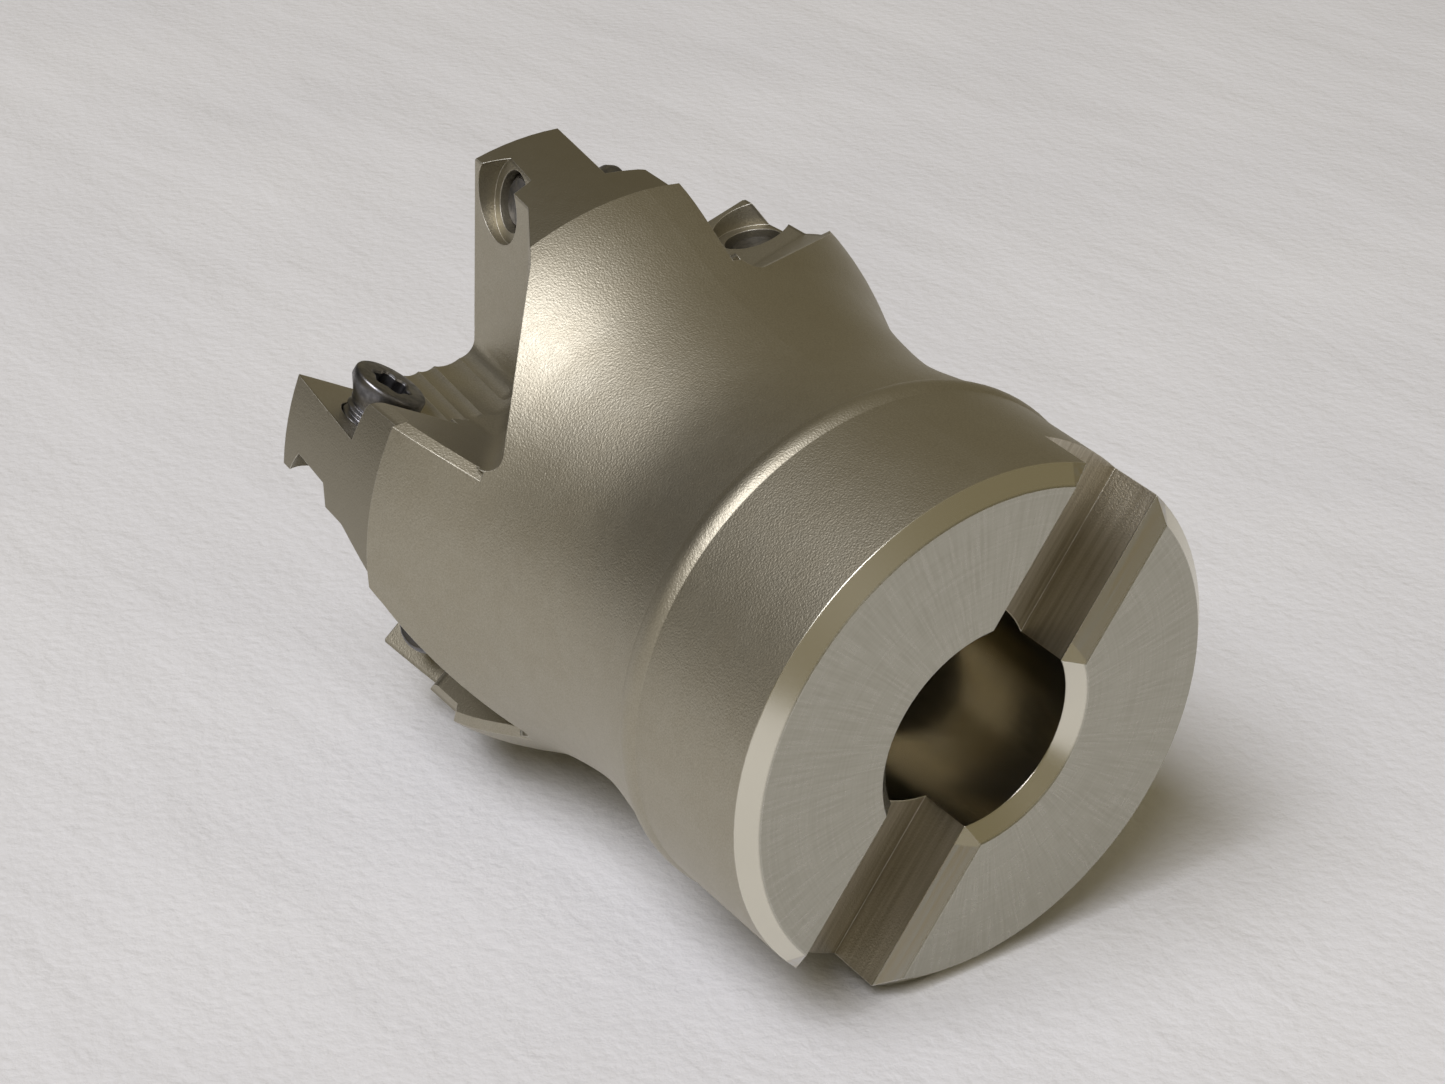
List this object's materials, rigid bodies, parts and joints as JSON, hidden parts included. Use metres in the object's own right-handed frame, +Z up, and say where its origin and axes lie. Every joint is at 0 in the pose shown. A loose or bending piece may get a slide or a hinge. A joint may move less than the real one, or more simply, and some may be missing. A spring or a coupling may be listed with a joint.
{
  "type": "face mill",
  "caption": "Shell-type face mill body with a waisted neck, a bored and slotted back face, and empty insert pockets whose small clamping screws are backed out.",
  "frame": {"origin": "centre of the ground back face, on the tool axis", "axes": "+Y along the tool axis from the back face to the cutting end; +Z up and +X to the right as the tool lies on its side seen from behind, rolled so that the first tooth is uppermost"},
  "size_m": [0.0478, 0.057, 0.0478],
  "materials": {
    "plated_steel": "satin nickel plating with a champagne tint over a blasted surface; the back face is ground bright",
    "black_screw": "black oxide, satin"
  },
  "bodies": {
    "mill_body": {"mill_body": "plated_steel"},
    "insert_screw_1": {"insert_screw_1": "black_screw"},
    "insert_screw_2": {"insert_screw_2": "black_screw"},
    "insert_screw_3": {"insert_screw_3": "black_screw"},
    "insert_screw_4": {"insert_screw_4": "black_screw"},
    "insert_screw_5": {"insert_screw_5": "black_screw"}
  },
  "joints": [
    {"name": "screw_1_slide", "type": "slide", "parent": "mill_body", "child": "insert_screw_1", "axis": [0.9695, -0.1564, -0.1885], "range_m": [-0.00135, 0.0052]},
    {"name": "screw_2_slide", "type": "slide", "parent": "mill_body", "child": "insert_screw_2", "axis": [0.1204, -0.1564, -0.9803], "range_m": [-0.00135, 0.0052]},
    {"name": "screw_3_slide", "type": "slide", "parent": "mill_body", "child": "insert_screw_3", "axis": [-0.8951, -0.1564, -0.4174], "range_m": [-0.00135, 0.0052]},
    {"name": "screw_4_slide", "type": "slide", "parent": "mill_body", "child": "insert_screw_4", "axis": [-0.6736, -0.1564, 0.7223], "range_m": [-0.00135, 0.0052]},
    {"name": "screw_5_slide", "type": "slide", "parent": "mill_body", "child": "insert_screw_5", "axis": [0.4788, -0.1564, 0.8639], "range_m": [-0.00135, 0.0052]}
  ]
}
